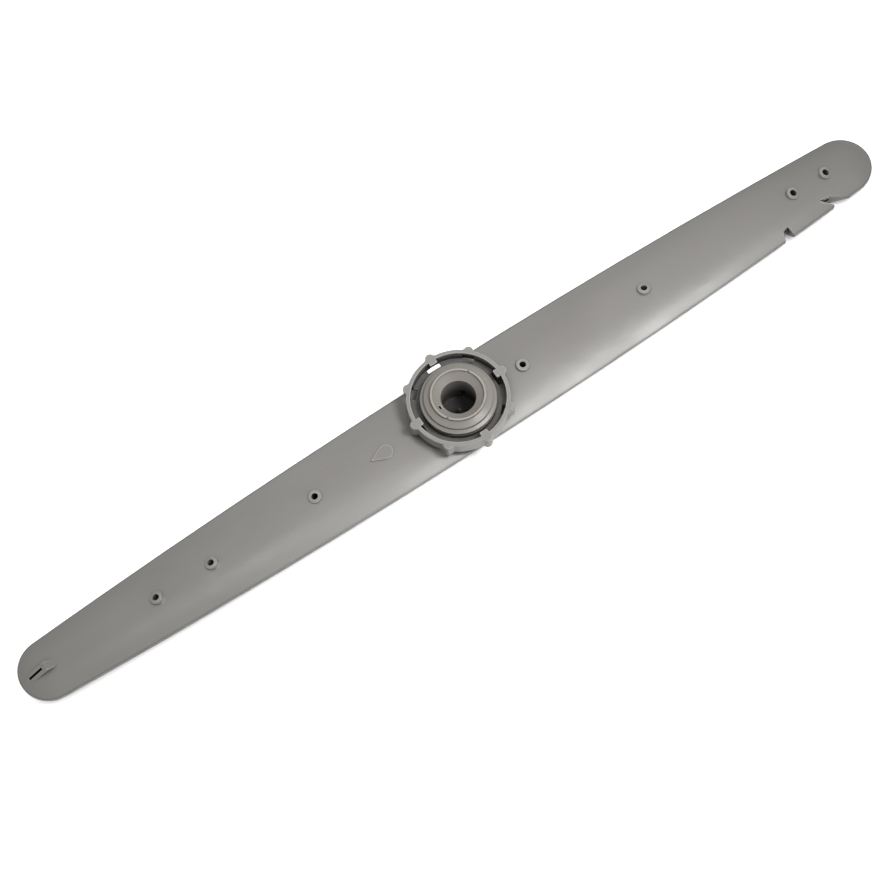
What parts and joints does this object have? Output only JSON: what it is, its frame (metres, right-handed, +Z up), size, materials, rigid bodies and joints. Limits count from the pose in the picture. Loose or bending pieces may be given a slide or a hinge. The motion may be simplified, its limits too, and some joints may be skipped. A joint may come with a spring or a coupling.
{
  "type": "dishwasher spray arm",
  "caption": "Long flat spray arm with angled jets, fed through a central bush that spins in the arm and is held to its pipe by a bayonet ring.",
  "frame": {"origin": "on the hub axis, on the flat of the underside", "axes": "+X along the arm to the end with the two side jets, +Z up the hub axis to the inlet, +Y across the arm"},
  "size_m": [0.475, 0.0526, 0.0262],
  "materials": {
    "arm_plastic": "satin moulded polypropylene, grey",
    "bush_plastic": "satin moulded plastic, warm grey",
    "ring_plastic": "satin moulded plastic, light grey"
  },
  "bodies": {
    "arm": {"upper_shell": "arm_plastic", "lower_shell": "arm_plastic"},
    "bush": {"inlet_bush": "bush_plastic"},
    "ring": {"lock_ring": "ring_plastic"}
  },
  "joints": [
    {"name": "arm_spin", "type": "hinge", "parent": "arm", "child": "bush", "pos_m": [0, 0, 0.0227], "axis": [0, 0, 1], "continuous": true},
    {"name": "ring_turn", "type": "hinge", "parent": "arm", "child": "ring", "pos_m": [0, 0, 0.0192], "axis": [0, 0, 1], "continuous": true}
  ]
}
